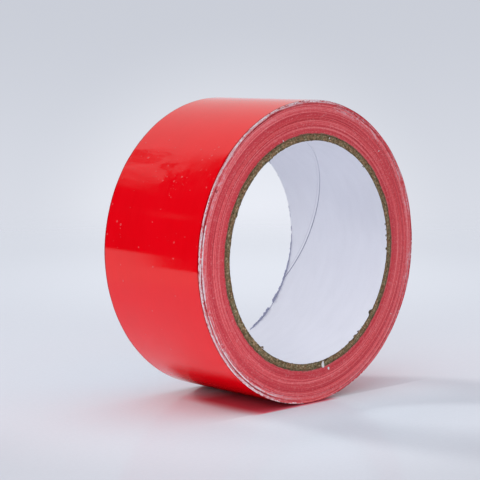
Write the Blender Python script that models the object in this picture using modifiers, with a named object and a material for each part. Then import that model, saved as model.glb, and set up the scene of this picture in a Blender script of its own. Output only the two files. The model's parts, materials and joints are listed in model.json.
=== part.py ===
"""A roll of wide self-adhesive tape on a spiral-wound paper core, standing on its rim.

Frame: metres, +Z up, origin at the centre of the roll, the roll's axis along +Y.
The near side face looks along -Y, and the free end of the tape lies on the +X side.

The core is five helically wound paper plies: a white liner and four plies of grey board,
each with its own butt seam. The tape is one strip. It is divided where it behaves
differently: the tight pack, the slack outer turns, the top turn, and the free end, which is
a chain of short lengths hinged to each other so that it can be peeled off the roll.
"""

import math

import bpy

MM = 0.001
FULL_TURN = 2 * math.pi

# ---- Driving dimensions -------------------------------------------------------------------
BORE_DIAMETER = 76.2 * MM  # a 3 inch core
ROLL_DIAMETER = 104.0 * MM
TAPE_WIDTH = 48.0 * MM
TAPE_THICKNESS = 0.13 * MM  # film and adhesive, one turn of the winding
SLACK_TURNS = 10  # outermost full turns, below the top turn, that stand loose

CORE_LENGTH = 48.0 * MM
LINER_THICKNESS = 0.15 * MM
BOARD_THICKNESS = 0.55 * MM
BOARD_PLIES = 4

SEAM_LEAD = 123.0 * MM  # how far a ply's seam travels along the axis in one turn
SEAM_WIDTH = 0.4 * MM  # the gap between a ply's two edges, square to the seam
LINER_SEAM_ANGLE = math.radians(40)  # where the liner's seam crosses the middle of the core
SEAM_STAGGER = math.radians(72)  # from one ply's seam to the next one's

FREE_END_LENGTHS = 8  # hinged lengths in the free end
FACETS_PER_LENGTH = 2
FREE_END_TIP_FACET = 4  # facets from the +X axis up to the tip

# ---- Clearances ---------------------------------------------------------------------------
GLUE_LINE = 0.025 * MM  # between two plies, and between the core and the tape
WINDING_GAP = 0.02 * MM  # between two turns that are modelled apart
HINGE_GAP = 0.3 * MM  # between two lengths of the free end, along the strip

# ---- Facets -------------------------------------------------------------------------------
FACETS = 96  # round the roll
FACET_ANGLE = FULL_TURN / FACETS
HALF_FACET = FACET_ANGLE / 2  # turns every ring so that a flat, and not a corner, is lowest

# ---- Sizes that follow --------------------------------------------------------------------
ROLL_RADIUS = ROLL_DIAMETER / 2
BORE_RADIUS = BORE_DIAMETER / 2
LINER_OUTER_RADIUS = BORE_RADIUS + LINER_THICKNESS
CORE_RADIUS = LINER_OUTER_RADIUS + BOARD_PLIES * (GLUE_LINE + BOARD_THICKNESS)
SLACK_INNER_RADIUS = ROLL_RADIUS - (SLACK_TURNS + 1) * TAPE_THICKNESS
STRIP_THICKNESS = TAPE_THICKNESS - WINDING_GAP

TIP_ANGLE = HALF_FACET + FREE_END_TIP_FACET * FACET_ANGLE
LENGTH_ANGLE = FACETS_PER_LENGTH * FACET_ANGLE
FREE_END_ANGLE = FREE_END_LENGTHS * LENGTH_ANGLE

WHITE_PAPER = (0.80, 0.81, 0.86)
GREY_BOARD = (0.23, 0.18, 0.12)
RED_FILM = (0.72, 0.005, 0.012)
TURN_EDGES = (0.55, 0.06, 0.08)


def clear_scene():
    for obj in list(bpy.data.objects):
        bpy.data.objects.remove(obj, do_unlink=True)


def new_collection(name, shown=True):
    collection = bpy.data.collections.new(name)
    bpy.context.scene.collection.children.link(collection)
    collection.hide_render = not shown
    return collection


def principled(name, colour, roughness):
    material = bpy.data.materials.new(name)
    material.use_nodes = True
    shader = material.node_tree.nodes["Principled BSDF"]
    shader.inputs["Base Color"].default_value = (*colour, 1.0)
    shader.inputs["Roughness"].default_value = roughness
    shader.inputs["Metallic"].default_value = 0.0
    return material


def shade_round(mesh):
    mesh.shade_smooth()
    mesh.set_sharp_from_angle(angle=math.radians(30))


# ---- The core -----------------------------------------------------------------------------
def turned_ring(name, inner, outer, length, material, collection):
    """A plain tube about the Y axis, turned from its rectangular section."""
    section = (
        (outer, -length / 2, 0),
        (outer, length / 2, 0),
        (inner, length / 2, 0),
        (inner, -length / 2, 0),
    )
    mesh = bpy.data.meshes.new(name)
    mesh.from_pydata(section, [(i, (i + 1) % 4) for i in range(4)], [])
    mesh.materials.append(material)
    ring = bpy.data.objects.new(name, mesh)
    ring.rotation_euler.y = HALF_FACET
    collection.objects.link(ring)

    turn = ring.modifiers.new("turn", "SCREW")
    turn.axis = "Y"
    turn.steps = turn.render_steps = FACETS
    turn.use_merge_vertices = True
    turn.merge_threshold = 1e-6
    turn.use_smooth_shade = False
    return ring


def seam_cutter(name, radius, thickness, seam_angle, length, collection):
    """A helical blade that cuts one ply along its butt seam.

    seam_angle is where the seam crosses y = 0, measured from +X towards +Z. The angle falls
    as y grows, which is a positive turn about +Y.
    """
    overrun = 2 * MM  # past the ply, on every side
    reach = length / 2 + overrun
    sweep = 2 * reach / SEAM_LEAD * FULL_TURN
    blade = (
        (radius - overrun, -reach, 0),
        (radius + thickness + overrun, -reach, 0),
    )
    mesh = bpy.data.meshes.new(name)
    mesh.from_pydata(blade, [(0, 1)], [])
    cutter = bpy.data.objects.new(name, mesh)
    cutter.rotation_euler.y = -(seam_angle + sweep / 2)
    cutter.display_type = "WIRE"
    cutter.hide_render = True
    collection.objects.link(cutter)

    wind = cutter.modifiers.new("wind", "SCREW")
    wind.axis = "Y"
    wind.angle = sweep
    wind.screw_offset = 2 * reach
    wind.steps = wind.render_steps = math.ceil(sweep / FACET_ANGLE)
    wind.use_smooth_shade = False

    width = cutter.modifiers.new("width", "SOLIDIFY")
    width.thickness = SEAM_WIDTH
    width.offset = 0
    width.use_even_offset = True
    return cutter


def core_ply(name, inner, thickness, seam_angle, material, parts, cutters):
    """One helically wound ply: a tube open along its seam."""
    ply = turned_ring(name, inner, inner + thickness, CORE_LENGTH, material, parts)
    cutter = seam_cutter(f"{name}_seam", inner, thickness, seam_angle, CORE_LENGTH, cutters)
    cut = ply.modifiers.new("seam", "BOOLEAN")
    cut.operation = "DIFFERENCE"
    cut.solver = "EXACT"
    cut.object = cutter
    return ply


def build_core(parts, cutters):
    paper = principled("white_paper", WHITE_PAPER, 0.8)
    board = principled("grey_board", GREY_BOARD, 0.95)
    core_ply(
        "core_liner", BORE_RADIUS, LINER_THICKNESS, LINER_SEAM_ANGLE, paper, parts, cutters
    )
    for number in range(1, BOARD_PLIES + 1):
        below = (number - 1) * (BOARD_THICKNESS + GLUE_LINE)
        core_ply(
            f"core_board_ply_{number}",
            LINER_OUTER_RADIUS + GLUE_LINE + below,
            BOARD_THICKNESS,
            LINER_SEAM_ANGLE + number * SEAM_STAGGER,
            board,
            parts,
            cutters,
        )


# ---- The tape -----------------------------------------------------------------------------
def wound_radius(wound):
    """The strip's outer radius, wound radians back from the tip of the free end."""
    return ROLL_RADIUS - TAPE_THICKNESS * wound / FULL_TURN


def on_roll(radius, wound):
    """A point of the side view: X and Z, at a radius, wound radians back from the tip."""
    angle = TIP_ANGLE + wound
    return (radius * math.cos(angle), radius * math.sin(angle))


def wound_stations(start, end):
    """Wound angles from start to end: both of them, and each facet corner between."""
    first = math.floor(start / FACET_ANGLE + 1e-6) + 1
    last = math.ceil(end / FACET_ANGLE - 1e-6) - 1
    corners = [number * FACET_ANGLE for number in range(first, last + 1)]
    return [start, *corners, end]


def extruded(name, outlines, material, collection):
    """A solid as wide as the tape, from closed outlines in the side view. A second one is a hole."""
    curve = bpy.data.curves.new(name, "CURVE")
    curve.dimensions = "2D"
    curve.fill_mode = "BOTH"
    curve.extrude = TAPE_WIDTH / 2
    for outline in outlines:
        spline = curve.splines.new("POLY")
        spline.points.add(len(outline) - 1)
        spline.use_cyclic_u = True
        for point, (x, z) in zip(spline.points, outline):
            point.co = (x, z, 0, 1)
    curve.materials.append(material)
    solid = bpy.data.objects.new(name, curve)
    solid.rotation_euler.x = math.pi / 2
    collection.objects.link(solid)
    return solid


def circle(radius):
    return [on_roll(radius, number * FACET_ANGLE) for number in range(FACETS)]


def strip_outline(start, end):
    """One thickness of tape between two wound angles: out along its face, back along its glue."""
    stations = wound_stations(start, end)
    face = [on_roll(wound_radius(wound), wound) for wound in stations]
    glue = [
        on_roll(wound_radius(wound) - STRIP_THICKNESS, wound) for wound in reversed(stations)
    ]
    return face + glue


def build_wound_tape(parts):
    """The tight pack, the slack turns with their step under the tip, and the top turn."""
    edges = principled("turn_edges", TURN_EDGES, 0.5)
    film = principled("red_film", RED_FILM, 0.2)
    extruded(
        "tape_wound_pack",
        [circle(SLACK_INNER_RADIUS - WINDING_GAP), circle(CORE_RADIUS + GLUE_LINE)],
        edges,
        parts,
    )
    step = [
        on_roll(wound_radius(FULL_TURN + wound), wound)
        for wound in wound_stations(0, FULL_TURN)
    ]
    extruded("tape_slack_turns", [step, circle(SLACK_INNER_RADIUS)], edges, parts)
    turn_end = FULL_TURN - HINGE_GAP / ROLL_RADIUS
    extruded("tape_top_turn", [strip_outline(FREE_END_ANGLE, turn_end)], film, parts)


def build_free_end(parts):
    """The free end, from the length hinged on the roll to the tip. Each has its own hinge."""
    film = principled("red_film_free_end", RED_FILM, 0.2)
    gap_angle = HINGE_GAP / ROLL_RADIUS
    for number in range(1, FREE_END_LENGTHS + 1):
        hinge = FREE_END_ANGLE - (number - 1) * LENGTH_ANGLE
        tip_side = hinge - LENGTH_ANGLE
        name = f"free_end_{number}"
        length = extruded(name, [strip_outline(tip_side, hinge - gap_angle)], film, parts)

        x, z = on_roll(wound_radius(hinge) - STRIP_THICKNESS / 2, hinge - gap_angle / 2)
        axis = bpy.data.objects.new(f"{name}_hinge", None)
        axis.location = (x, 0, z)
        parts.objects.link(axis)
        bpy.context.view_layer.update()
        length.parent = axis
        length.matrix_parent_inverse = axis.matrix_world.inverted()


def main():
    clear_scene()
    parts = new_collection("tape_roll")
    cutters = new_collection("cutters", shown=False)
    build_core(parts, cutters)
    build_wound_tape(parts)
    build_free_end(parts)


main()
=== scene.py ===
"""A roll of wide red tape on a paper core, standing on its edge on a pale glossy floor."""
import json
import math

import bmesh
import bpy
import numpy as np
from mathutils import Matrix, Vector


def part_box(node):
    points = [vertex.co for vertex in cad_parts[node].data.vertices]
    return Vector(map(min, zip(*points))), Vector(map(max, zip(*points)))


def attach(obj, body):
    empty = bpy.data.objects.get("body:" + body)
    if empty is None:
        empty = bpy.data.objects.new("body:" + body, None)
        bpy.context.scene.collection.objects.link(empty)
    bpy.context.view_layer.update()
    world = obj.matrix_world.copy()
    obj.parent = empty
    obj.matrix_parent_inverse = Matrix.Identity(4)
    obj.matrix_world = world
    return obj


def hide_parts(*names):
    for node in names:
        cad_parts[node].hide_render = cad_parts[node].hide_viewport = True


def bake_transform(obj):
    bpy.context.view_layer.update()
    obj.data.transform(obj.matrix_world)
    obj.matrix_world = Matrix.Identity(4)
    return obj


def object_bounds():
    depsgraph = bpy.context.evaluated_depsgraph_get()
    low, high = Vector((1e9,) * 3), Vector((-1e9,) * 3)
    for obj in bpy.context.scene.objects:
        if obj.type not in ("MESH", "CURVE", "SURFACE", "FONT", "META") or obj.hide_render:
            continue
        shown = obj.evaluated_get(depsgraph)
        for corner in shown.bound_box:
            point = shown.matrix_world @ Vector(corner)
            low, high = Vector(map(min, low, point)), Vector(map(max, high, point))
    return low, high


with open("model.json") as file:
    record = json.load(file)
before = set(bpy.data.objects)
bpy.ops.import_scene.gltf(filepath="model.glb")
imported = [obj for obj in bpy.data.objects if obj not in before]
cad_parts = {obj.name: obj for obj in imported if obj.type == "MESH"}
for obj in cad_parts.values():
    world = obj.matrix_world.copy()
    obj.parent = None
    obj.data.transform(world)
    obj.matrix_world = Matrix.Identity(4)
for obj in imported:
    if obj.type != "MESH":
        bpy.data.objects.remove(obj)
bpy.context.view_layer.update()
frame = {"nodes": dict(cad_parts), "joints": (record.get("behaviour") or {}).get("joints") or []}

MM = 0.001
TURN_ROUND = 2 * math.pi
NODES = frame["nodes"]

# ---- measures from the frame


def node_points(name):
    points = np.empty(len(NODES[name].data.vertices) * 3)
    NODES[name].data.vertices.foreach_get("co", points)
    return points.reshape(-1, 3)


AXIS_LOW, AXIS_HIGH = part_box("core_liner")
AXIS_X, AXIS_Z = (AXIS_LOW.x + AXIS_HIGH.x) / 2, (AXIS_LOW.z + AXIS_HIGH.z) / 2
MIDDLE_Y = (AXIS_LOW.y + AXIS_HIGH.y) / 2
HALF_CORE = (AXIS_HIGH.y - AXIS_LOW.y) / 2


def radii(name):
    """Nearest and farthest distance of a node's points from the roll's axis."""
    points = node_points(name)
    distance = np.hypot(points[:, 0] - AXIS_X, points[:, 2] - AXIS_Z)
    return float(distance.min()), float(distance.max())


def turn_angle(x, z):
    return math.atan2(z - AXIS_Z, x - AXIS_X)


ROLL_RADIUS = radii("free_end_8")[1]
PACK_IN, PACK_OUT = radii("tape_wound_pack")
SLACK_IN, SLACK_OUT = radii("tape_slack_turns")
LINER_IN, LINER_OUT = radii("core_liner")
PLY_NODES = ["core_board_ply_%d" % (k + 1) for k in range(4)]
PLY_RADII = [radii(name) for name in PLY_NODES]
TAPE_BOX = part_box("tape_top_turn")
HALF_TAPE = (TAPE_BOX[1].y - TAPE_BOX[0].y) / 2
TURN_STEP = ROLL_RADIUS - SLACK_OUT
WINDING_GAP = 0.02 * MM
FILM = TURN_STEP - WINDING_GAP
HINGES = [turn_angle(j["pos_m"][0], j["pos_m"][2]) for j in frame["joints"]]
LENGTHS = len(HINGES)
TIP_ANGLE = float(min(turn_angle(x, z) for x, _, z in node_points("free_end_%d" % LENGTHS)))


def film_radius(angle):
    """Outer radius of the outermost film, which spirals in from its tip."""
    return ROLL_RADIUS - TURN_STEP * (angle - TIP_ANGLE) / TURN_ROUND


# ---- mesh tools


def polar(radius, y, angle):
    radius, y, angle = np.broadcast_arrays(radius, y, angle)
    return np.stack(
        [AXIS_X + radius * np.cos(angle), MIDDLE_Y + y, AXIS_Z + radius * np.sin(angle)], -1
    )


def grid_faces(rows, columns, closed=True):
    """Quads over rows of points that each close on themselves, as the rows do if closed."""
    r, c = np.meshgrid(np.arange(rows if closed else rows - 1), np.arange(columns), indexing="ij")
    r2, c2 = (r + 1) % rows, (c + 1) % columns
    corners = [r * columns + c, r * columns + c2, r2 * columns + c2, r2 * columns + c]
    return np.stack(corners, -1).reshape(-1, 4)


def prism_faces(start, sides):
    """The walls and both ends of a prism, whose two rings of points follow each other."""
    ring = [start + k for k in range(sides)]
    walls = [[a, b, b + sides, a + sides] for a, b in zip(ring, ring[1:] + ring[:1])]
    return [*walls, ring, [k + sides for k in ring]]


def mesh_piece(name, points, faces, materials, picks=None, smooth=True):
    """A mesh object whose faces all point outwards."""
    mesh = bpy.data.meshes.new(name)
    mesh.from_pydata(np.asarray(points).reshape(-1, 3).tolist(), [], [list(f) for f in faces])
    for material in materials:
        mesh.materials.append(material)
    if picks is not None:
        mesh.polygons.foreach_set("material_index", np.asarray(picks, np.int32))
    shape = bmesh.new()
    shape.from_mesh(mesh)
    bmesh.ops.recalc_face_normals(shape, faces=shape.faces)
    shape.to_mesh(mesh)
    shape.free()
    if smooth:
        mesh.shade_smooth()
    piece = bpy.data.objects.new(name, mesh)
    bpy.context.scene.collection.objects.link(piece)
    return piece


def sharpen(piece, degrees):
    """Keeps shading crisp along the cut edges of a smooth piece."""
    piece.data.set_sharp_from_angle(angle=math.radians(degrees))


def waves(angle, across, seed, around, over, count=14):
    """A smooth random height, about -1 to 1, that closes on itself round the roll."""
    rng = np.random.default_rng(seed)
    total = 0
    for _ in range(count):
        turns = rng.integers(around[0], around[1] + 1)
        slope = rng.uniform(-1, 1) * TURN_ROUND / over
        total = total + np.sin(turns * angle + slope * across + rng.uniform(0, TURN_ROUND))
    return total / math.sqrt(count)


def bump_at(value, centre, width):
    """A soft bump of height 1 round a centre."""
    return np.exp(-(((value - centre) / width) ** 2))


def angle_bump(angle, centre, width):
    """A soft bump round one place on the circle; both angles are in degrees."""
    return bump_at((np.degrees(angle) - centre + 180) % 360 - 180, 0, width)


# ---- node tools


class Shader:
    """Builds one node tree. Its calls return the sockets that carry their results."""

    def __init__(self, owner):
        owner.use_nodes = True
        self.owner, self.tree = owner, owner.node_tree
        self.tree.nodes.clear()

    def add(self, kind, *inputs, out=0, **settings):
        node = self.tree.nodes.new("ShaderNode" + kind)
        for key, value in settings.items():
            setattr(node, key, value)
        for place, value in enumerate(inputs):
            self.give(node.inputs[place], value)
        return node.outputs[out]

    def give(self, socket, value):
        if isinstance(value, bpy.types.NodeSocket):
            self.tree.links.new(value, socket)
        elif value is not None:
            socket.default_value = value

    def maths(self, operation, *values):
        return self.add("Math", *values, operation=operation)

    def chain(self, operation, first, others):
        for other in others:
            first = self.maths(operation, first, other)
        return first

    def product(self, first, *others):
        return self.chain("MULTIPLY", first, others)

    def total(self, first, *others):
        return self.chain("ADD", first, others)

    def most(self, first, *others):
        return self.chain("MAXIMUM", first, others)

    def less(self, value, amount):
        return self.maths("SUBTRACT", value, amount)

    def swing(self, noise, amount):
        """Noise of 0 to 1 moved to lie evenly about 0, and scaled."""
        return self.product(self.less(noise, 0.5), amount)

    def blend_of(self, *shares):
        """The sum of (value, share) pairs."""
        return self.total(*(self.product(value, share) for value, share in shares))

    def near(self, value, centre, full, none):
        """1 where value is within full of centre, down to 0 where it is none away."""
        away = self.maths("ABSOLUTE", self.less(value, centre))
        return self.span(away, full, none, 1.0, 0.0)

    def arc(self, around, first, last, soft):
        """1 between two angles round the roll, down to 0 within soft degrees past them."""
        return self.near(around, (first + last) / 2, (last - first) / 2, (last - first) / 2 + soft)

    def axes(self, vector):
        """The vector's x, y and z."""
        node = self.tree.nodes.new("ShaderNodeSeparateXYZ")
        self.give(node.inputs[0], vector)
        return node.outputs

    def along(self, vector, direction):
        """How far the vector reaches in a direction."""
        return self.add("VectorMath", vector, direction, operation="DOT_PRODUCT", out=1)

    def rays(self):
        """1 where the ray comes from the camera, and 1 where it comes off a glossy surface."""
        path = self.tree.nodes.new("ShaderNodeLightPath")
        return path.outputs["Is Camera Ray"], path.outputs["Is Glossy Ray"]

    def mix(self, amount, a, b, blend="MIX"):
        node = self.tree.nodes.new("ShaderNodeMix")
        node.data_type, node.blend_type = "RGBA", blend
        for place, value in ((0, amount), (6, a), (7, b)):
            self.give(node.inputs[place], value)
        return node.outputs[2]

    def span(self, value, low, high, start=0.0, end=1.0):
        """value moved smoothly from start at low to end at high, and no further."""
        kind = "SMOOTHSTEP"
        return self.add("MapRange", value, low, high, start, end, interpolation_type=kind)

    def ramp(self, value, *stops):
        """A colour for each value between stops of (position, colour)."""
        node = self.tree.nodes.new("ShaderNodeValToRGB")
        self.give(node.inputs[0], value)
        elements = node.color_ramp.elements
        elements[0].position, elements[0].color = stops[0]
        elements[1].position, elements[1].color = stops[-1]
        for position, colour in stops[1:-1]:
            elements.new(position).color = colour
        return node.outputs[0]

    def noise(self, vector, scale, detail=4.0, roughness=0.5):
        return self.add("TexNoise", vector, None, scale, detail, roughness)

    def bump(self, height, distance, strength=1.0):
        return self.add("Bump", strength, distance, None, height)

    def principled(self, **inputs):
        node = self.tree.nodes.new("ShaderNodeBsdfPrincipled")
        for name, value in inputs.items():
            self.give(node.inputs[name.replace("_", " ")], value)
        return node.outputs[0]

    def finish(self, shader, kind="Material"):
        """Wires the shader to the output, and returns the material or world that has it."""
        result = self.tree.nodes.new("ShaderNodeOutput" + kind)
        self.give(result.inputs[0], shader)
        return self.owner

    def surface(self, **inputs):
        return self.finish(self.principled(**inputs))

    def place(self):
        return self.add("TexCoord", out=3)

    def roll_place(self, radial, around, along):
        """Where a point is on the roll: a vector stretched by these scales, seamless round it.

        Returns (vector, radius in mm, angle in degrees, y in mm).
        """
        x, y, z = self.axes(self.place())
        x, z = self.less(x, AXIS_X), self.less(z, AXIS_Z)
        flat = self.add("CombineXYZ", x, 0.0, z)
        length = self.add("VectorMath", flat, operation="LENGTH", out=1)
        radius = self.maths("DIVIDE", length, MM)
        y = self.maths("DIVIDE", self.less(y, MIDDLE_Y), MM)
        cosine, sine = self.maths("DIVIDE", x, length), self.maths("DIVIDE", z, length)
        angle = self.maths("DEGREES", self.maths("ARCTAN2", z, x))
        # Each turn of noise space holds the radius and the y position, so it has no seam.
        drift = self.product(radius, radial)
        vector = self.add(
            "CombineXYZ",
            self.total(self.product(cosine, around), drift),
            self.product(y, along),
            self.total(self.product(sine, around), drift),
        )
        return vector, radius, angle, y


def grey(value):
    """A neutral colour."""
    return (value, value, value, 1.0)


# ---- camera

LENS_MM, SENSOR_MM = 121.44, 36
CLIP_NEAR, CLIP_FAR = 0.01, 50
CAMERA_AZIMUTH, CAMERA_ELEVATION = -43.23, 6.38
CAMERA_DISTANCE, CAMERA_RIGHT, CAMERA_UP = 569.5 * MM, -8.10 * MM, 2.40 * MM


def camera_axes():
    """The camera's right, up and back directions."""
    turn, lift = math.radians(CAMERA_AZIMUTH), math.radians(CAMERA_ELEVATION)
    back = np.array(
        [math.sin(turn) * math.cos(lift), -math.cos(turn) * math.cos(lift), math.sin(lift)]
    )
    right = np.array([math.cos(turn), math.sin(turn), 0])
    return right, np.cross(back, right), back


def camera_place():
    right, up, back = camera_axes()
    return back * CAMERA_DISTANCE + right * CAMERA_RIGHT + up * CAMERA_UP


def make_camera():
    data = bpy.data.cameras.new("camera")
    data.lens, data.sensor_width = LENS_MM, SENSOR_MM
    data.clip_start, data.clip_end = CLIP_NEAR, CLIP_FAR
    camera = bpy.data.objects.new("camera", data)
    turned = Matrix(np.stack(camera_axes(), 1).tolist()).to_4x4()
    camera.matrix_world = Matrix.Translation(camera_place()) @ turned
    bpy.context.scene.collection.objects.link(camera)
    bpy.context.scene.camera = camera


# ---- film

FILM_RELIEF, FILM_POCKET = 0.002, 0.16
# Painted shade for the film's rolled-over cut edges.
CUT_EDGE_SHADE_RED = (0.36, 0.0, 0.003, 1)


def film_material(name="red_film_gloss", pale=0.0):
    """Glossy plasticised film, with faint drawn streaks round the roll and small flow marks."""
    s = Shader(bpy.data.materials.new(name))
    streaks, _, angle, y = s.roll_place(0, 5, 1.6)
    streak = s.noise(streaks, 1.0, 5.0, 0.6)
    cloud = s.noise(s.roll_place(0, 2.2, 0.05)[0], 1.3, 3.0)
    specks = s.noise(s.place(), 2600.0, 2.0)
    red = s.ramp(
        s.blend_of((streak, 0.35), (cloud, 0.65)),
        (0.3, (0.79, 0.0002 + 0.06 * pale, 0.0045 + 0.06 * pale, 1)),
        (0.7, (0.86, 0.0004 + 0.08 * pale, 0.0065 + 0.08 * pale, 1)),
    )
    # Painted shade: the film is darker near its cut edges, standing in for the shade where it rolls
    # over.
    edge = s.less(HALF_TAPE / MM, s.maths("ABSOLUTE", y))
    rolled_edge_shade = s.total(edge, s.swing(streak, 0.8))
    red = s.mix(s.span(rolled_edge_shade, 0.25, 0.85, 0.9, 0.0), red, CUT_EDGE_SHADE_RED)
    rough = s.total(s.span(streak, 0.35, 0.75, 0.045, 0.12), s.span(specks, 0.68, 0.78, 0.0, 0.12))
    # Air pockets: strong in one loose place on the far half, faint elsewhere.
    loose = s.product(s.arc(angle, 140.0, 156.0, 8.0), s.span(y, -14.0, 2.0))
    loose = s.total(s.product(loose, 0.9), 0.1)
    pockets = s.product(s.noise(s.roll_place(0, 20, 0.08)[0], 1.0, 2.0), loose)
    height = s.blend_of((streak, FILM_RELIEF), (specks, FILM_RELIEF), (pockets, FILM_POCKET))
    return s.surface(Base_Color=red, Roughness=rough, IOR=1.5, Normal=s.bump(height, MM, 0.5))


def adhesive_material():
    """The sticky underside: the same red, duller, with a pale bloom of rubber adhesive."""
    s = Shader(bpy.data.materials.new("adhesive_side"))
    bloom = s.noise(s.roll_place(0, 8, 2.4)[0], 1.0, 6.0, 0.65)
    grain = s.noise(s.place(), 4200.0, 3.0)
    return s.surface(
        Base_Color=s.ramp(bloom, (0.3, (0.50, 0.012, 0.02, 1)), (0.75, (0.66, 0.07, 0.08, 1))),
        Roughness=s.span(grain, 0.3, 0.7, 0.3, 0.5),
        IOR=1.48,
        Normal=s.bump(s.total(grain, bloom), 0.02 * MM, 0.6),
    )


# How far the film's rows of points lie in from a cut edge, in mm; then evenly across the tape.
EDGE_STEPS = (0.0, 0.04, 0.09, 0.16, 0.26, 0.40, 0.62, 0.95)
SKIN_STEP = 0.5 * MM
UNDERSIDE_ROWS = 9
FILM_STEP = 0.5  # degrees along the film


def skin_places():
    """Places across the film, close together where it rounds over at its edges."""
    edge = HALF_TAPE - np.array(EDGE_STEPS) * MM
    inner = np.linspace(-edge[-1], edge[-1], int(2 * edge[-1] / SKIN_STEP) + 1)[1:-1]
    return np.concatenate([-edge, inner, edge[::-1]])


def film_lift(angle, y):
    """How far the outermost film stands off the turn under it: soft waves and air pockets."""
    broad = waves(angle, y, 11, (2, 7), 0.16, 10)
    far_half = 1 / (1 + np.exp(-(y / MM + 1.0) / 1.5))
    loose = angle_bump(angle, 147, 10) * (0.3 + 0.7 * far_half)
    pocket = waves(angle, y, 23, (18, 52), 0.022, 18)
    lift = 0.028 * (1 + 0.5 * broad) + 0.040 * loose * (1 + 0.75 * pocket)
    return np.clip(lift, 0.004, None) * MM


def edge_drop(angle, y):
    """The rounded-over cut edge, a little deeper where the roll has been handled."""
    depth = 0.07 + 0.03 * waves(angle, 0, 31, (4, 30), 1.0) + 0.05 * angle_bump(angle, 222, 14)
    return np.clip(depth, 0.02, None) * MM * np.exp(-(HALF_TAPE - np.abs(y)) / (0.18 * MM))


def film_piece(name, start, end, film, adhesive):
    """A length of film from one winding angle to another: a closed strip with two skins."""
    stations = max(4, int(round(math.degrees(end - start) / FILM_STEP)) + 1)
    angle = np.linspace(start, end, stations)[:, None]
    across = skin_places()
    back = np.linspace(0.9, -0.9, UNDERSIDE_ROWS) * HALF_TAPE
    back = np.concatenate([[HALF_TAPE], back, [-HALF_TAPE]])
    outer = film_radius(angle) + film_lift(angle, across) - edge_drop(angle, across)
    inner = film_radius(angle) + film_lift(angle, back) - FILM
    points = np.concatenate([polar(outer, across, angle), polar(inner, back, angle)], 1)
    columns = points.shape[1]
    faces = grid_faces(stations, columns, closed=False)
    column = faces[:, 0] % columns
    picks = np.where((column >= len(across)) & (column < columns - 1), 1, 0)
    caps = [list(range(columns)), list(range((stations - 1) * columns, stations * columns))]
    faces = [*faces.tolist(), *caps]
    piece = mesh_piece(name, points, faces, [film, adhesive], [*picks.tolist(), 0, 0])
    sharpen(piece, 40)
    return piece


def angle_point(angle):
    """The point on the film's outer side at a winding angle, half way across the tape."""
    return tuple(float(v) for v in polar(film_radius(angle), 0.0, angle))


def make_film(film, adhesive):
    """The outermost turn on the roll, and its free end, made in eight lengths."""
    top = film_piece("film_top_turn", HINGES[0], TIP_ANGLE + TURN_ROUND, film, adhesive)
    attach(top, "roll")
    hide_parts("tape_top_turn")
    ends = HINGES + [TIP_ANGLE]
    middles = [(ends[k] + ends[k + 1]) / 2 for k in range(LENGTHS)]
    for k in range(LENGTHS):
        start = HINGES[0] if k == 0 else middles[k - 1]
        stop = TIP_ANGLE if k == LENGTHS - 1 else middles[k]
        piece = film_piece("free_end_film_%d" % (k + 1), stop, start, film, adhesive)
        own = "free_end_%d" % (k + 1)
        angle_point(start)
        angle_point(middles[k])
        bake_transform(piece)
        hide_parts(own)


# ---- wound turns

TURN_REDS = (
    (0.39, (0.42, 0.006, 0.018, 1)),
    (0.465, (0.68, 0.044, 0.058, 1)),
    (0.53, (0.83, 0.090, 0.106, 1)),
    (0.61, (0.97, 0.235, 0.248, 1)),
)
BAND_RED, GROOVE_SHADE_RED = (0.60, 0.018, 0.036, 1), (0.34, 0.002, 0.010, 1)
PALE_DUST_AND_HIGHLIGHT, PALE_LINE = (0.80, 0.62, 0.68, 1), (0.88, 0.76, 0.80, 1)
TORN_BOARD = ((0.35, (0.05, 0.03, 0.02, 1)), (0.6, (0.27, 0.2, 0.12, 1)))
# How much darker the turns are, from the pack's inside (0) to the roll's outside (1).
TURN_BANDS = (
    (0.0, 0.62), (0.14, 0.50), (0.19, 0.20), (0.235, 0.52), (0.28, 0.06), (0.47, 0.0),
    (0.57, 0.80), (0.65, 0.05), (1.0, 0.0),
)
# Where things lie round the faces, in degrees from the +X axis: first, last, softness.
DUST_ARC, FAINT_DUST_AND_HIGHLIGHT_ARCS = (150, 240, 30), ((14, 36, 8), (340, 356, 8), (50, 74, 8))
RIM_ARC, LINE_ARC, BLOT_ARC = (82, 244, 8), (180, 247, 6), (166, 194, 5)
GROOVE_ARCS = ((184, 227, 3), (233, 246, 2), (108, 122, 3), (164, 173, 2))
GROOVE_LIMITS = (76, 246, 8)
# And at which radius, in mm.
DUST_FROM, RIM_FROM, BLOT_FROM = (48.0, 50.4), (51.0, 51.2), (49.7, 50.2)
LINE_RADIUS, GROOVE_RADIUS = 50.38, 50.80
MARK_ANGLE, MARK_RADIUS = 152.0, 50.2


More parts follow.
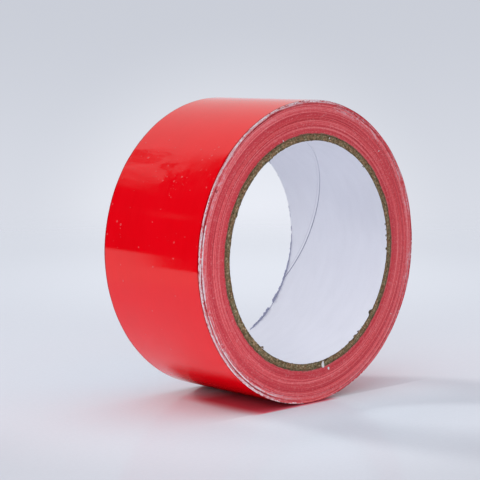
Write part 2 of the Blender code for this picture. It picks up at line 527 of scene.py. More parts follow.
def dust_the_rim(s, colour, radius, around, smears, grain):
    """Adds the pale dust (in places a painted highlight), the broken whitish lines, and a dark line
    of painted shade along a groove near the rim.
    """
    patches = s.blend_of((smears, 0.6), (grain, 0.4))
    edge = s.total(radius, s.swing(smears, 0.7))
    where = s.most(s.arc(around, *DUST_ARC), 0.25)
    # The faint arcs add pale patches that are partly dust and partly a painted highlight near the
    # rim.
    for arc in FAINT_DUST_AND_HIGHLIGHT_ARCS:
        where = s.most(where, s.product(s.arc(around, *arc), 0.8))
    dust = s.product(s.span(radius, *DUST_FROM), where, s.span(patches, 0.47, 0.60), 0.8)
    colour = s.mix(dust, colour, PALE_DUST_AND_HIGHLIGHT)

    rim = s.product(s.span(edge, *RIM_FROM), s.arc(around, *RIM_ARC))
    rim = s.product(rim, s.span(patches, 0.42, 0.52), 0.7)
    line = s.product(s.near(edge, LINE_RADIUS, 0.13, 0.27), s.arc(around, *LINE_ARC))
    line = s.product(line, s.span(patches, 0.44, 0.50))
    blot = s.product(s.span(radius, *BLOT_FROM), s.arc(around, *BLOT_ARC))
    blot = s.product(blot, s.span(patches, 0.44, 0.51))
    colour = s.mix(s.most(rim, line, blot), colour, PALE_LINE)

    # Painted shade: a dark line where a fine groove runs near the rim, and a small dark mark at one
    # place in the same colour.
    where = s.product(s.span(smears, 0.42, 0.52), 0.45)
    where = s.most(where, *(s.arc(around, *arc) for arc in GROOVE_ARCS))
    where = s.product(where, s.arc(around, *GROOVE_LIMITS))
    groove = s.product(s.near(edge, GROOVE_RADIUS, 0.12, 0.24), where)
    mark = s.product(s.near(around, MARK_ANGLE, 0.35, 0.8), s.near(radius, MARK_RADIUS, 0.6, 0.8))
    return s.mix(s.product(s.most(groove, mark), 0.92), colour, GROOVE_SHADE_RED), patches


def turn_edge_material():
    """The cut edges of many turns: streaked red, dusted pale where adhesive and paper cling."""
    s = Shader(bpy.data.materials.new("turn_edges"))
    rings, radius, angle, _ = s.roll_place(5.5, 0.7, 0.3)
    around = s.maths("MODULO", s.total(angle, 360.0), 360.0)
    fine = s.noise(rings, 1.0, 5.0, 0.6)
    coarse = s.noise(s.roll_place(1.1, 0.8, 0.1)[0], 1.0, 3.0, 0.5)
    middle = s.noise(s.roll_place(2.4, 1.1, 0.1)[0], 1.0, 4.0, 0.6)
    smears = s.noise(s.roll_place(1.6, 9.0, 0.2)[0], 1.0, 4.0, 0.6)
    grain = s.noise(s.place(), 1100.0, 5.0, 0.75)
    specks = s.noise(s.place(), 2300.0, 3.0, 0.7)
    colour = s.ramp(s.blend_of((fine, 0.18), (middle, 0.62), (coarse, 0.20)), *TURN_REDS)
    depth = s.total(radius, s.swing(coarse, 1.2))
    depth = s.add("MapRange", depth, PACK_IN / MM, ROLL_RADIUS / MM)
    bands = s.ramp(depth, *((at, grey(share)) for at, share in TURN_BANDS))
    colour = s.mix(bands, colour, BAND_RED)
    colour, patches = dust_the_rim(s, colour, radius, around, smears, grain)
    flecks = (
        (grain, 0.43, 0.30, 0.55, (0.42, 0.010, 0.026, 1)),
        (specks, 0.46, 0.34, 0.35, (0.46, 0.012, 0.030, 1)),
        (grain, 0.55, 0.70, 0.35, (0.92, 0.44, 0.46, 1)),
        (specks, 0.56, 0.68, 0.35, (0.92, 0.46, 0.48, 1)),
    )
    for noise, none, full, share, tint in flecks:
        colour = s.mix(s.span(noise, none, full, 0.0, share), colour, tint)
    torn = s.less(s.total(radius, s.swing(patches, 2.6)), PACK_IN / MM)
    colour = s.mix(s.span(torn, 0.10, 0.22, 0.85, 0.0), colour, s.ramp(specks, *TORN_BOARD))
    height = s.blend_of((fine, 0.7), (grain, 0.5), (specks, 0.3))
    return s.surface(
        Base_Color=colour,
        Roughness=s.span(fine, 0.3, 0.7, 0.42, 0.62),
        IOR=1.45,
        Normal=s.bump(height, 0.07 * MM, 0.6),
    )


def turn_heights(radius, angle, side):
    """How far each turn stands out past the face: every turn has its own small offset."""
    turn = np.floor((radius - PACK_IN) / TURN_STEP).astype(int)
    rng = np.random.default_rng(41 + int(side > 0))
    own = rng.normal(0, 1, int(turn.max()) + 4)
    group = np.convolve(own, np.ones(7) / 7, "same") * 2.0
    height = 0.035 * own[turn] + 0.05 * group[turn]
    height = height * (0.75 + 0.35 * waves(angle, radius / MM, 43, (1, 5), 9.0, 8))
    along = waves(angle, radius / MM, 47, (2, 22), 1.4, 16)
    return (height + 0.018 * along) * MM


def round_the_roll(stations):
    return np.linspace(0, TURN_ROUND, stations, endpoint=False)[:, None]


def ring_piece(name, angle, inner, outer, per_turn, heights, material, skin):
    """A ring of many turns with relief on both faces. outer is a radius, or one for each angle."""
    depth = float(np.mean(outer - inner))
    rings = int(round(depth / TURN_STEP * per_turn)) + 1
    share = np.linspace(0, 1, rings)[None, :]
    radius = inner + (outer - inner) * share
    inside = np.clip(radius, PACK_IN, None)
    near = polar(radius, -HALF_TAPE - heights(inside, angle, -1), angle)
    far = polar(radius, HALF_TAPE + heights(inside, angle, 1), angle)
    points = np.concatenate([near, far[:, ::-1]], 1)
    faces = grid_faces(len(angle), points.shape[1])
    column = faces[:, 0] % points.shape[1]
    picks = np.where(column == rings - 1, 1, 0)
    piece = mesh_piece(name, points, faces.tolist(), [material, skin], picks)
    sharpen(piece, 50)
    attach(piece, "roll")
    return piece


def slack_heights(radius, angle, side):
    """The loose outer turns: some stand proud of the pack, some have slipped in."""
    turn = np.floor((radius - SLACK_IN) / TURN_STEP + 1e-6).astype(int)
    rng = np.random.default_rng(59 + int(side > 0))
    own = rng.normal(0, 1, 12)
    own[0] = -2.4
    height = 0.045 * own[np.clip(turn, 0, 11)]
    pushed = 0.09 * waves(angle, radius / MM * 0.6, 61 + int(side > 0), (2, 11), 3.2, 12)
    return (height + pushed + 0.02 * waves(angle, radius / MM, 67, (20, 60), 0.9, 10)) * MM


def make_turns(edges, skin):
    """The tight pack, and the few slack turns round it, which spiral out to meet the top turn."""
    angle = round_the_roll(300)
    pack = ring_piece("wound_turns", angle, PACK_IN, PACK_OUT, 1.9, turn_heights, edges, skin)
    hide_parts("tape_wound_pack")
    angle = round_the_roll(720)
    wound = (angle - TIP_ANGLE) % TURN_ROUND
    outer = ROLL_RADIUS - TURN_STEP * (1 + wound / TURN_ROUND)
    slack = ring_piece("slack_turns", angle, SLACK_IN, outer, 3.5, slack_heights, edges, skin)
    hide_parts("tape_slack_turns")


# ---- core


def board_material():
    """Grey-brown recycled board seen end-on: short fibres, flecks, and painted shade darkening its
    inner and outer edges.
    """
    s = Shader(bpy.data.materials.new("core_board"))
    layers, radius, _, _ = s.roll_place(3.2, 26, 1.0)
    fibre = s.noise(layers, 1.0, 6.0, 0.7)
    grain = s.noise(s.place(), 1300.0, 5.0, 0.7)
    tone = s.blend_of((fibre, 0.45), (grain, 0.55))
    colour = s.ramp(
        tone,
        (0.39, (0.030, 0.018, 0.010, 1)),
        (0.465, (0.17, 0.125, 0.062, 1)),
        (0.54, (0.29, 0.225, 0.125, 1)),
        (0.63, (0.66, 0.58, 0.43, 1)),
    )
    tint = s.ramp(
        s.noise(s.place(), 420.0, 4.0, 0.7),
        (0.42, (1.20, 0.92, 0.84, 1)),
        (0.58, (0.98, 1.02, 0.98, 1)),
    )
    colour = s.mix(1.0, colour, tint, "MULTIPLY")
    # Painted shade: the board darkens towards its inner and outer edges, where it meets the liner and
    # the tape.
    ragged = s.total(radius, s.swing(tone, 1.6))
    shade = s.ramp(
        s.add("MapRange", ragged, PLY_RADII[0][0] / MM, PLY_RADII[-1][1] / MM),
        (0.0, grey(0.55)),
        (0.22, grey(0.98)),
        (0.72, grey(0.92)),
        (1.0, grey(0.42)),
    )
    colour = s.mix(1.0, colour, shade, "MULTIPLY")
    return s.surface(Base_Color=colour, Roughness=0.92, IOR=1.4, Normal=s.bump(tone, 0.22 * MM, 0.9))


# Torn places on the bore's near edge: the angle in degrees, how far in mm, and how wide.
TORN_POINTS = ((232, 0.75, 0.9), (322, 0.55, 1.1), (122, 0.25, 2.0), (157, 0.25, 1.6))
PLY_DEPTH = 1.2 * MM


def board_end(angle, radius, seed):
    """Torn, fibrous height of a cut board end."""
    fine = waves(angle, radius / MM, seed, (60, 240), 0.5, 24)
    broad = waves(angle, radius / MM, seed + 1, (4, 24), 1.5, 10)
    return (0.035 * fine + 0.04 * broad) * MM


def torn_edge(angle, ply, side):
    """How far a ply's inner edge stands in or out round one end, in mm."""
    torn = 0.06 * waves(angle, 0, 71 + ply, (24, 150), 1.0, 24)
    if ply > 0:
        return 0.3 * torn
    if side < 0:
        torn = torn - sum(far * angle_bump(angle, at, wide) for at, far, wide in TORN_POINTS) - 0.05
    return torn


def make_plies(board):
    """The four spirally wound plies, each a tube with rough ends; the innermost edge is torn."""
    angle = round_the_roll(900)
    share = np.linspace(0, 1, 7)[None, :]
    for k, (low, high) in enumerate(PLY_RADII):
        radius = low + (high - low) * share
        ends, walls = [], []
        for side in (-1, 1):
            rough = radius + torn_edge(angle, k, side) * MM * (1 - share) ** 2
            y = side * (HALF_CORE + board_end(angle, radius, 81 + 3 * k + int(side > 0)))
            ends.append(polar(rough, y, angle))
            deep = side * (HALF_CORE - PLY_DEPTH)
            walls.append([polar(at, deep, angle) for at in (low, high)])
        near, far = walls
        points = [near[0], ends[0], near[1], far[1], ends[1][:, ::-1], far[0]]
        points = np.concatenate(points, 1)
        faces = grid_faces(len(angle), points.shape[1])
        piece = mesh_piece("core_ply_%d" % (k + 1), points, faces.tolist(), [board])
        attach(piece, "roll")
        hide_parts(PLY_NODES[k])


FIBRES_AT_AN_END = 260
SPIKE_FACES = ((0, 2, 1), (0, 1, 3), (1, 2, 3), (2, 0, 3))


def make_fibres(board):
    """Loose fibres that stand out of both cut ends of the board."""
    rng = np.random.default_rng(97)
    points, faces = [], []
    low, high = PLY_RADII[0][0], PLY_RADII[-1][1]
    for side in (-1, 1):
        for _ in range(FIBRES_AT_AN_END):
            angle, radius = rng.uniform(0, TURN_ROUND), rng.uniform(low, high)
            root = polar(radius, side * (HALF_CORE - 0.03 * MM), angle)
            lean = rng.normal(0, 1, 3)
            lean[1] = side * abs(lean[1]) * 0.5 + side * 0.2
            lean /= np.linalg.norm(lean)
            inward = root * [-1, 0, -1] / np.linalg.norm(root * [1, 0, 1])
            if radius < low + 0.4 * MM:
                lean = lean * 0.5 + inward * 0.8
            length, width = rng.uniform(0.12, 0.36) * MM, rng.uniform(0.015, 0.035) * MM
            cross = np.cross(lean, [0.3, 0.9, 0.2])
            cross /= np.linalg.norm(cross)
            other = np.cross(lean, cross)
            start = len(points)
            for a in (0, TURN_ROUND / 3, 2 * TURN_ROUND / 3):
                points.append(root + (cross * math.cos(a) + other * math.sin(a)) * width)
            points.append(root + lean * length)
            faces += [[start + k for k in face] for face in SPIKE_FACES]
    piece = mesh_piece("board_fibres", np.array(points), faces, [board], smooth=False)
    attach(piece, "roll")


# The liner's spiral seam: its angle in degrees where it crosses the middle, its lead, and how
# many degrees past it the fainter line lies where the lapped edge ends.
SEAM_MIDDLE, SEAM_PER_MM, SECOND_LINE = 42.5, -2.85, 3.4


def liner_material():
    """Smooth white liner paper with a cool cast, and painted shadow along its one spiral seam."""
    s = Shader(bpy.data.materials.new("liner_paper"))
    place, _, angle, y = s.roll_place(0, 3, 0.25)
    cloud = s.noise(place, 1.2, 4.0)
    grain = s.noise(s.place(), 1800.0, 4.0, 0.6)
    tone = s.blend_of((cloud, 0.6), (grain, 0.4))
    paper = s.ramp(tone, (0.3, (0.74, 0.745, 0.81, 1)), (0.7, (0.79, 0.795, 0.86, 1)))
    # Painted shadow: a dark line along the seam where the lapped edge steps down, and a fainter one
    # where the lap ends.
    away = s.less(angle, s.total(SEAM_MIDDLE, s.product(y, SEAM_PER_MM)))
    away = s.less(s.maths("MODULO", s.total(away, 900.0), 360.0), 180.0)
    fading = s.span(y, -10.0, 16.0, 0.12, 1.0)
    line = s.product(s.near(away, 0.0, 0.15, 0.65), fading, 0.75)
    second_seam_shadow = s.product(s.near(away, SECOND_LINE, 0.2, 0.9), 0.22, fading)
    return s.surface(
        Base_Color=s.mix(s.most(line, second_seam_shadow), paper, (0.22, 0.22, 0.34, 1)),
        Roughness=s.span(grain, 0.3, 0.7, 0.5, 0.66),
        IOR=1.46,
        Normal=s.bump(tone, 0.03 * MM, 0.5),
    )


def make_liner(paper):
    """One wide strip wound in a helix, its edge lapped over the start of the next turn."""
    rows = 97
    fine = np.array([0, 0.12, 0.25, 0.4, 0.6, 1.0, 1.6, 2.6, 3.2, 3.8, 4.6, 6])
    steps = np.concatenate([fine, np.linspace(7.5, 352, 230), 360 - fine[:0:-1]])
    y = np.linspace(-HALF_CORE, HALF_CORE, rows)[:, None]
    seam = SEAM_MIDDLE + SEAM_PER_MM * y / MM
    angle = np.radians(seam + steps[None, :])
    lap = 0.09 * np.exp(-steps / 5.0)[None, :]
    groove = 0.07 * bump_at(steps, 360.0, 0.8) + 0.05 * bump_at(steps, SECOND_LINE, 0.5)
    sag = 0.05 * (1 + waves(angle, y / MM, 101, (2, 9), 60.0, 10))
    inner = LINER_IN + (sag - lap + groove[None, :]) * MM
    frayed = HALF_CORE - 0.10 * MM * np.abs(waves(angle[-1:], 0, 103, (30, 90), 1.0, 16))
    across = np.where(y >= HALF_CORE - 1e-9, frayed, y)
    outer = np.full_like(inner, LINER_OUT)
    # Rows go along the inside from near to far, then back along the outside.
    points = np.concatenate([polar(inner, across, angle), polar(outer, across, angle)[::-1]], 0)
    faces = grid_faces(2 * rows, len(steps))
    piece = mesh_piece("liner_sheet", points, faces.tolist(), [paper])
    sharpen(piece, 40)
    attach(piece, "roll")
    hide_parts("core_liner")


# ---- small things on the roll


# A dome's rings, as shares of its size and height, and the points in a ring.
DOME_RINGS = ((1.0, -0.35), (0.95, 0.25), (0.7, 0.72), (0.36, 0.95))
DOME_SIDES = 10


def dome(points, faces, base, up, size, height, long):
    """Adds a low closed dome to a growing mesh, stretched along the roll's width by long."""
    side = np.cross((0, 1, 0), up)
    front = np.cross(up, side)
    start, sides, rings = len(points), DOME_SIDES, len(DOME_RINGS)
    for share, lift in DOME_RINGS:
        for k in range(sides):
            a = TURN_ROUND * k / sides
            flat = side * math.cos(a) * size * share + front * math.sin(a) * size * long * share
            points.append(base + flat + up * height * lift)
    points.append(base + up * height)
    for k in range(sides):
        after = (k + 1) % sides
        for low in range(start, start + (rings - 1) * sides, sides):
            faces.append([low + k, low + after, low + after + sides, low + k + sides])
        last = start + (rings - 1) * sides
        faces.append([last + k, last + after, last + sides])
    faces.append([start + k for k in range(sides)][::-1])


# Where air bubbles gather: angle and y in degrees and mm, spread of each, and how many. Those
# that fall before BUBBLES_FROM degrees, on the roll's outline, are moved to just past it.
BUBBLES_FROM, BUBBLE_LIMIT = 128, 22.8
BUBBLE_CLUSTERS = (
    (140, 16, 4, 6, 10),
    (151, -5, 4, 6, 13),
    (142, -18, 5, 4, 11),
    (172, 15, 8, 4, 7),
    (174, -10, 5, 9, 5),
    (195, 0, 60, 24, 36),
    (300, 0, 70, 24, 40),
    (60, 0, 60, 24, 30),
)


def make_bubbles(material):
    """Small air bubbles under the outermost film, which raise it in low domes."""
    rng = np.random.default_rng(107)
    points, faces = [], []
    for angle, y, spread, wide, count in BUBBLE_CLUSTERS:
        for _ in range(count):
            turn = math.radians(rng.normal(angle, spread * 0.6))
            if turn % TURN_ROUND < math.radians(BUBBLES_FROM):
                turn = math.radians(BUBBLES_FROM + 2) + rng.uniform(0, 0.5)
            across = rng.normal(y, wide * 0.6)
            across = float(np.clip(across, -BUBBLE_LIMIT, BUBBLE_LIMIT)) * MM
            surface = film_radius(turn % TURN_ROUND) + float(film_lift(turn, across))
            base, up = polar(surface, across, turn), np.array([math.cos(turn), 0, math.sin(turn)])
            size = (0.12 + 0.34 * rng.uniform() ** 2.4) * MM
            height = size * rng.uniform(0.10, 0.30)
            dome(points, faces, base, up, size, height, rng.uniform(0.8, 1.5))
    piece = mesh_piece("film_bubbles", np.array(points), faces, [material])
    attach(piece, "roll")


def glue_material():
    """Dried, whitish adhesive squeezed out along the rim."""
    s = Shader(bpy.data.materials.new("squeezed_adhesive"))
    patch = s.noise(s.roll_place(2.0, 22, 0.4)[0], 1.0, 5.0, 0.65)
    tone = s.blend_of((patch, 0.6), (s.noise(s.place(), 3000.0, 4.0, 0.7), 0.4))
    colour = s.ramp(
        tone,
        (0.41, (0.66, 0.12, 0.16, 1)),
        (0.47, (0.84, 0.64, 0.69, 1)),
        (0.60, (0.93, 0.90, 0.92, 1)),
    )
    return s.surface(Base_Color=colour, Roughness=0.55, IOR=1.48, Normal=s.bump(tone, 0.05 * MM, 0.7))


def plateau(angle, first, last, soft):
    """1 between two angles in degrees, falling to 0 over the soft degrees outside them."""
    turn = np.degrees(angle) % 360
    away = np.abs(turn - (first + last) / 2) - (last - first) / 2
    return np.clip(1 - away / soft, 0, 1)


def rim_width(angle, side):
    """How wide the bead is round the rim, in mm: thick on one side, broken up elsewhere."""
    seed = 113 if side < 0 else 127
    ragged = waves(angle, 0, seed, (60, 300), 1.0, 30)
    slow = waves(angle, 0, seed + 1, (9, 50), 1.0, 14)
    width = 0.02 + 0.20 * slow + 0.30 * ragged
    if side < 0:
        width = width + 0.34 * plateau(angle, 84, 240, 12) + 0.22 * angle_bump(angle, 142, 18)
        width = width + 0.25 * angle_bump(angle, 252, 9) - 0.10 * angle_bump(angle, 30, 60)
    return np.clip(width, 0.0, 0.95)


# The bead's outline: how far in across its width and how high, as shares.
BEAD_OUTLINE = ((0.0, 0.0), (0.08, 1.0), (0.45, 1.5), (0.85, 0.9), (1.0, -1.2))
BEAD_LEAST = 0.04


def add_bead(points, faces, a, width, side):
    """Adds one closed stretch of bead that tapers to both ends."""
    steps, sides = len(a), len(BEAD_OUTLINE)
    taper = np.minimum(1, np.minimum(np.arange(steps), np.arange(steps)[::-1]) / 3.0)
    outer = film_radius(a) - 0.015 * MM
    lift = 0.07 * MM * (0.5 + 0.5 * taper)
    wide = width * (0.3 + 0.7 * taper)
    rings = [
        polar(outer - wide * share, side * (HALF_TAPE + lift * rise - 0.02 * MM), a)
        for share, rise in BEAD_OUTLINE
    ]
    start = len(points)
    points += np.stack(rings, 1).reshape(-1, 3).tolist()
    faces += (grid_faces(steps, sides, closed=False) + start).tolist()
    last = start + (steps - 1) * sides
    faces += [[first + k for k in range(sides)] for first in (start, last)]


def make_rim_beads(glue):
    """A thin bead of squeezed-out adhesive along both rims, ragged on its inner side."""
    angle = np.linspace(HINGES[0] + 0.01, TIP_ANGLE + TURN_ROUND, 1440)
    points, faces = [], []
    for side in (-1, 1):
        width = rim_width(angle, side)
        shown = (width > BEAD_LEAST).astype(int)
        edges = np.flatnonzero(np.diff(np.concatenate([[0], shown, [0]])))
        for begin, end in zip(edges[::2], edges[1::2]):
            if end - begin >= 3:
                add_bead(points, faces, angle[begin:end], width[begin:end] * MM, side)
    piece = mesh_piece("rim_adhesive", np.array(points), faces, [glue])
    sharpen(piece, 60)
    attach(piece, "roll")


CHIP_COLOURS = (0.66, 0.64, 0.66, 1), (0.93, 0.93, 0.95, 1)
# Dark blue-grey painted shade on the frayed slivers of white liner paper.
FRAYED_SHADE_COLOURS = (0.30, 0.31, 0.44, 1), (0.48, 0.49, 0.63, 1)


def torn_paper_material(name, low, high, rough, relief):
    """Rough, fibrous paper whose grain runs between two colours."""
    s = Shader(bpy.data.materials.new(name))
    grain = s.noise(s.place(), 2600.0, 5.0, 0.7)
    colour = s.ramp(grain, (0.3, low), (0.7, high))
    return s.surface(Base_Color=colour, Roughness=rough, Normal=s.bump(grain, relief, 0.8))


# Chips and crumbs on the near face: angle, radius, half-length, half-width and corners.
CHIPS = (
    (278, 39.7, 1.05, 0.62, 12),
    (281.5, 41.9, 0.50, 0.36, 8),
    (110, 41.0, 0.30, 0.12, 7),
    (78, 39.6, 0.28, 0.12, 7),
    (45, 47.2, 0.30, 0.10, 7),
    (328, 48.0, 0.30, 0.10, 7),
)


def make_chips(paper):
    """Two torn chips of liner paper caught on the near edge of the core, and a few crumbs."""
    rng = np.random.default_rng(131)
    points, faces = [], []
    for turn, radius, long, wide, corners in CHIPS:
        angle = math.radians(turn)
        out = np.array([math.cos(angle), 0, math.sin(angle)]) * long
        side = np.array([-math.sin(angle), 0, math.cos(angle)]) * wide
        base = polar(radius * MM, -HALF_TAPE - 0.10 * MM, angle)
        faces += prism_faces(len(points), corners)
        for lift in (0.12, -0.16):
            for k in range(corners):
                a = TURN_ROUND * k / corners
                flat = (out * math.cos(a) + side * math.sin(a)) * (1 + rng.uniform(-0.28, 0.28))
                curl = np.array([0, -lift - 0.25 * math.cos(a) ** 2 * wide, 0])
                points.append(base + (flat + curl) * MM)
    piece = mesh_piece("paper_chips", np.array(points), faces, [paper], smooth=False)
    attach(piece, "roll")


# Where the liner is most frayed on its far rim, in degrees.
FRAYED_AT = (-59, -55, -40, -34, -28, -22, -17, -8)
# A sliver's outline: steps across its half-width, and how far each reaches inwards.
SLIVER_OUTLINE = ((-1, -0.1), (-0.4, 0.7), (0.2, 1.0), (0.7, 0.5), (1, -0.1))


def make_slivers(paper):
    """Frayed slivers of liner paper along the far rim of the bore, coloured dark blue-grey as painted
    shade.
    """
    rng = np.random.default_rng(137)
    points, faces = [], []
    for _ in range(150):
        turn = rng.choice(FRAYED_AT) + rng.normal(0, 3.5)
        if rng.uniform() < 0.35:
            turn = rng.uniform(0, 360)
        strong = math.exp(-(((turn + 42) / 24) ** 2))
        long = rng.uniform(0.10, 0.28) + 0.9 * strong * rng.uniform(0.3, 1.0)
        half = math.radians(rng.uniform(0.5, 2.2))
        rim = HALF_CORE - rng.uniform(0.02, 0.25) * MM
        faces += prism_faces(len(points), len(SLIVER_OUTLINE))
        for depth in (0.0, -0.07):
            for step, reach in SLIVER_OUTLINE:
                y = rim + (depth + 0.3 * reach * strong) * MM
                angle = math.radians(turn) + step * half
                points.append(polar(LINER_IN - reach * long * MM, y, angle))
    piece = mesh_piece("liner_slivers", np.array(points), faces, [paper], smooth=False)
    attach(piece, "roll")


# ---- studio

KEY_DIRECTION, KEY_COLOUR = (-0.285, 0.827, 0.485), (1.0, 0.985, 0.95)
KEY_STRENGTH, KEY_WIDTH = 1.00, math.radians(11.0)
SIDE_PLACE, SIDE_SIZE, SIDE_POWER = (-0.26, -0.19, 0.035), 0.14, 0.165

# What diffuse light, reflections and the camera each find in the world.
ROOM, DIM_FRONT, CEILING = (0.72, 0.74, 0.80, 1), (0.20, 0.20, 0.21, 1), (0.885, 0.90, 0.94, 1)
OVERHEAD, TABLE_GLOW, FLAG = (0.74, 0.73, 0.71, 1), (0.84, 0.82, 0.80, 1), (0.01, 0.01, 0.012, 1)
CORE_HALO, NEAR_HALO = (0.830, 0.855, 0.925, 1), (0.750, 0.775, 0.840, 1)
FAR_HALO, HIGH_SHADE = (0.690, 0.715, 0.785, 1), (0.86, 0.865, 0.875, 1)

# Edges of the dark flag, and of a thin dark slat above it, as the film mirrors them: y in mm
# against the angle on the roll in degrees.
FLAG_TOP = (
    (-24, 138), (-14, 141), (-8, 145.5), (-4, 150), (0, 152), (6, 152), (13, 150.5), (24, 150)
)
FLAG_FOOT = ((-24, 182.5), (-3.2, 182.5), (-0.6, 178.2), (24, 178))
SLAT_TOP, SLAT_FOOT = ((-24, 137.5), (24, 138)), ((-24, 143), (24, 143.5))
# A faint light strip within the flag: its angle, its y, and the y where it ends.
STRIP_ANGLE, STRIP_Y, STRIP_END = 163.5, -9, -15


def mirrored(degrees, y):
    """(turn, lean) of the direction that the film mirrors there, seen from the photo's place."""
    angle = math.radians(degrees)
    normal = np.array([math.cos(angle), 0, math.sin(angle)])
    view = camera_place() - polar(ROLL_RADIUS, y * MM, angle)
    view /= np.linalg.norm(view)
    way = 2 * (normal @ view) * normal - view
    return math.atan2(-way[2], -way[0]), way[1]


def profile_ramp(s, lean, places):
    """The turn of a panel's edge as a function of how far a direction leans towards +Y."""
    made = sorted((mirrored(degrees, y)[::-1] for y, degrees in places))
    leans, turns = [p[0] for p in made], [p[1] for p in made]
    low, high = min(turns) - 0.01, max(turns) + 0.01
    share = s.add("MapRange", lean, leans[0], leans[-1])
    stops = [
        ((p - leans[0]) / (leans[-1] - leans[0]), grey((t - low) / (high - low)))
        for p, t in zip(leans, turns)
    ]
    return s.add("MapRange", s.ramp(share, *stops), 0.0, 1.0, low, high)


def mirrored_room(s, way):
    """What reflections see: a bright panel overhead, and a dark flag low on the left."""
    rad = math.radians
    x, lean, z = s.axes(way)
    turn = s.maths("ARCTAN2", s.product(z, -1.0), s.product(x, -1.0))
    streak = s.noise(s.add("VectorMath", way, (40.0, 160.0, 40.0), operation="MULTIPLY"), 1.0, 3.0)
    # The flag's upper edge is crisp on the near half of the film and soft on the far half.
    far_half = s.span(lean, mirrored(150, -4)[1], mirrored(150, 8)[1])
    soft = s.add("MapRange", far_half, 0.0, 1.0, rad(3.0), rad(15.0))
    past_top = s.maths("DIVIDE", s.less(turn, profile_ramp(s, lean, FLAG_TOP)), soft)
    mottle = s.product(s.less(streak, 0.5), s.span(far_half, 0.0, 1.0, 0.3, 1.1))
    past_top = s.span(s.total(past_top, mottle), -1.0, 1.0)
    past_slat = s.span(s.less(turn, profile_ramp(s, lean, SLAT_TOP)), rad(-2.0), rad(2.0))
    above_foot = s.less(turn, profile_ramp(s, lean, SLAT_FOOT))
    above_foot = s.span(above_foot, rad(-5.0), rad(4.0), 1.0, 0.0)
    slat = s.product(past_slat, above_foot, far_half, s.span(streak, 0.35, 0.6, 0.35, 0.95))
    past_foot = s.span(s.less(turn, profile_ramp(s, lean, FLAG_FOOT)), rad(-0.8), rad(0.8))
    strip_turn, strip_lean = mirrored(STRIP_ANGLE, STRIP_Y)
    ends = abs(mirrored(STRIP_ANGLE, STRIP_END)[1] - strip_lean)
    strip = s.near(turn, strip_turn, rad(0.6), rad(3.2))
    strip = s.product(strip, s.near(lean, strip_lean, ends * 0.7, ends), 0.30)
    lit = s.mix(s.span(turn, rad(-176), rad(-150)), ROOM, OVERHEAD)
    panel = s.mix(s.most(past_top, slat), lit, s.mix(strip, FLAG, OVERHEAD))
    panel = s.mix(past_foot, panel, TABLE_GLOW)
    beyond = s.mix(s.span(z, 0.2, 0.9), ROOM, OVERHEAD)
    return s.mix(s.span(lean, 0.35, 0.6), beyond, panel)


def make_world():
    """Soft pale surroundings, which differ for diffuse light, for reflections and to the eye."""
    bpy.context.scene.world = bpy.data.worlds.new("studio")
    s = Shader(bpy.context.scene.world)
    way = s.add("TexCoord", out=0)
    _, up, back = camera_axes()
    low = s.mix(s.span(s.along(way, tuple(back)), -0.2, 0.5), ROOM, DIM_FRONT)
    diffuse = s.mix(s.span(s.axes(way)[2], -0.05, 0.8), low, CEILING)
    # Behind the roll a pale glow fades out to the sides, by degrees away from the middle.
    away = s.maths("MINIMUM", s.along(way, tuple(-back)), 1.0)
    apart = s.maths("DEGREES", s.maths("ARCCOSINE", away))
    halo = s.mix(s.span(apart, 4.5, 8.0), NEAR_HALO, FAR_HALO)
    halo = s.mix(s.span(apart, 1.0, 6.5), CORE_HALO, halo)
    shown = s.mix(s.span(s.along(way, tuple(up)), 0.0, 0.15), halo, HIGH_SHADE, "MULTIPLY")
    from_camera, from_gloss = s.rays()
    lit = s.mix(from_gloss, diffuse, mirrored_room(s, way))
    s.finish(s.add("Background", s.mix(from_camera, lit, shown)), "World")


def add_light(name, kind, direction):
    """A light that shines from a direction towards the roll, and isn't mirrored in the film."""
    data = bpy.data.lights.new(name, kind)
    light = bpy.data.objects.new(name, data)
    light.visible_glossy = False
    light.rotation_mode = "QUATERNION"
    light.rotation_quaternion = Vector(direction).to_track_quat("Z", "Y")
    bpy.context.scene.collection.objects.link(light)
    return light, data


def make_lights():
    """A soft sun from behind left, which shines through the bore, and a small low side light."""
    _, key = add_light("key", "SUN", KEY_DIRECTION)
    key.energy, key.angle, key.color = KEY_STRENGTH, KEY_WIDTH, KEY_COLOUR
    lamp, side = add_light("side", "AREA", SIDE_PLACE)
    side.shape, side.size, side.energy = "DISK", SIDE_SIZE, SIDE_POWER
    lamp.location = SIDE_PLACE


# ---- floor

# Places and distances are in metres from the roll's middle.
FLOOR_TONES = ((0.3, (0.70, 0.724, 0.782, 1)), (0.7, (0.72, 0.744, 0.802, 1)))
# Painted light: near the roll the floor is a little less red and more blue-green, cancelling part of
# the red light that the film bounces onto it.
NEAR_BOUNCE_CANCEL_TINT, NEAR_REACH = (0.985, 1.055, 1.065, 1), (0.04, 0.13)
# Painted pool of light: the floor is brighter round a place behind the roll.
LIGHT_POOL_GAIN, POOL_PLACE, POOL_REACH = (1.13, 1.13, 1.12, 1), (0.21, 0.225, -0.052), (0.02, 0.20)
# Painted falloff of light: the floor darkens slightly away from the roll.
FAR_FALLOFF_TINT, FAR_REACH = (0.985, 0.985, 0.98, 1), (0.10, 0.30)
# Painted shade: the corner towards the camera is a little darker.
CORNER_SHADE_TINT, CORNER_REACH = (0.84, 0.84, 0.845, 1), (0.095, 0.150)
CORNER_WAY, CORNER_SPAN = (-0.69, -0.72, 0.0), (0.02, 0.08)
# Painted shadow under the roll, in reflections only: x and y each as centre, full to, none from.
UNDER_SHADOW_TINT = (0.14, 0.004, 0.016, 1)
UNDER_X, UNDER_Y, UNDER_SHARE = (0.0, 0.024, 0.033), (0.0, 0.022, 0.032), 0.93
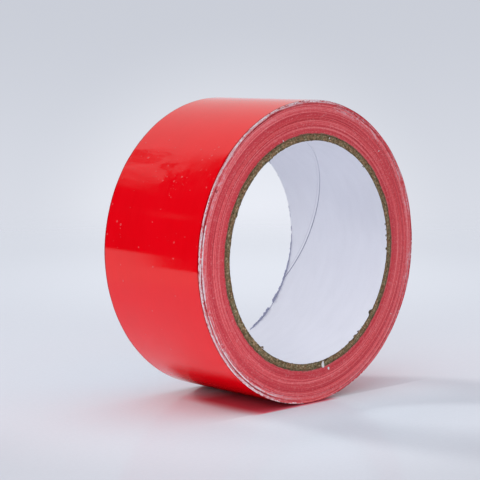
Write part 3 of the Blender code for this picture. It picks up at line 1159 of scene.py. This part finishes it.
# The red bounce in the wedge beside the line on which the roll stands.
WEDGE_TINT, WEDGE_GLOSS = (0.98, 0.15, 0.20, 1), (0.95, 0.16, 0.22, 1)
WEDGE_X, WEDGE_FRONT, WEDGE_BACK = (-0.008, 0.014, 0.023), (-0.0265, -0.0245), (0.002, 0.018)
# The pale light that the near face throws down in front of itself.
FOOT_TINT = (1.20, 1.22, 1.20, 1)
FOOT_X, FOOT_FRONT, FOOT_BACK = (0.008, 0.030, 0.060), (-0.062, -0.030), (-0.025, -0.023)
POLISH, GLOSS_ROUGHNESS = (0.022, 0.075, 0.42, 0.04), 0.11
BOUNCE, BOUNCE_FROM = 0.44, (0.012, 0.045)
FLOOR_FADE, MIRRORED_FADE = (0.20, 0.80), (0.13, 0.20)
FLOOR_GAP = 0.02 * MM


def floor_colours(s, place, length, from_gloss):
    """The board's colour with its painted light and shade, and the colour of its gloss."""
    x, y, _ = s.axes(place)
    colour = s.ramp(s.noise(place, 900.0, 3.0), *FLOOR_TONES)
    pool = s.add("VectorMath", place, POOL_PLACE, operation="DISTANCE", out=1)
    corner = s.product(
        s.span(length, *CORNER_REACH), s.span(s.along(place, CORNER_WAY), *CORNER_SPAN)
    )
    wedge = s.product(
        s.near(x, *WEDGE_X), s.span(y, *WEDGE_FRONT), s.span(y, *WEDGE_BACK, 1.0, 0.0)
    )
    foot = s.product(s.near(x, *FOOT_X), s.span(y, *FOOT_FRONT), s.span(y, *FOOT_BACK, 1.0, 0.0))
    # Painted light and shade laid over the floor's tone, one tint at a time.
    for share, tint in (
        (s.span(length, *NEAR_REACH, 1.0, 0.0), NEAR_BOUNCE_CANCEL_TINT),
        (s.span(pool, *POOL_REACH, 1.0, 0.0), LIGHT_POOL_GAIN),
        (s.span(length, *FAR_REACH), FAR_FALLOFF_TINT),
        (corner, CORNER_SHADE_TINT),
        (wedge, WEDGE_TINT),
        (foot, FOOT_TINT),
    ):
        colour = s.mix(share, colour, tint, "MULTIPLY")
    # Painted shadow under the roll, dark red, met only by glossy rays.
    under = s.product(s.near(x, *UNDER_X), s.near(y, *UNDER_Y), UNDER_SHARE, from_gloss)
    return s.mix(under, colour, UNDER_SHADOW_TINT), s.mix(wedge, grey(1.0), WEDGE_GLOSS)


def floor_material():
    """Pale, slightly glossy table board that runs out into the background."""
    s = Shader(bpy.data.materials.new("pale_floor"))
    place = s.place()
    from_camera, from_gloss = s.rays()
    length = s.add("VectorMath", place, operation="LENGTH", out=1)
    colour, gloss_colour = floor_colours(s, place, length, from_gloss)
    board = s.principled(Base_Color=colour, Roughness=0.9, Specular_IOR_Level=0.0)
    gloss = s.add("BsdfAnisotropic", gloss_colour, GLOSS_ROUGHNESS)
    polished = s.add("MixShader", s.span(length, *POLISH), board, gloss)
    # A glow on the left that only diffuse rays meet, as from a reflector under the roll.
    unseen = s.less(1.0, s.most(from_camera, from_gloss))
    bounce = s.product(unseen, s.span(s.along(place, (-1.0, 0.0, 0.0)), *BOUNCE_FROM), BOUNCE)
    lit = s.add("AddShader", polished, s.add("Emission", colour, bounce))
    gone = s.mix(from_gloss, s.span(length, *FLOOR_FADE), s.span(length, *MIRRORED_FADE))
    return s.finish(s.add("MixShader", gone, lit, s.add("BsdfTransparent")))


def make_floor():
    """A square metre or so of table, just under the lowest point of the roll."""
    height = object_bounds()[0].z - FLOOR_GAP
    points = [(x, y, height) for x, y in ((-1, -1), (1, -1), (1, 1), (-1, 1))]
    floor = mesh_piece("floor", np.array(points, float), [[0, 1, 2, 3]], [floor_material()])


# ---- the scene


bpy.context.scene.view_settings.view_transform = "Standard"
make_camera()
red_film, sticky_side, turn_edges = film_material(), adhesive_material(), turn_edge_material()
board, liner_paper = board_material(), liner_material()
make_film(red_film, sticky_side)
make_turns(turn_edges, red_film)
make_plies(board)
make_fibres(board)
make_liner(liner_paper)
make_bubbles(film_material("film_over_air", 0.8))
make_rim_beads(glue_material())
make_chips(torn_paper_material("paper_chip", *CHIP_COLOURS, 0.85, 0.08 * MM))
make_slivers(torn_paper_material("frayed_paper_painted_shade", *FRAYED_SHADE_COLOURS, 0.9, 0.06 * MM))
make_world()
make_lights()
make_floor()
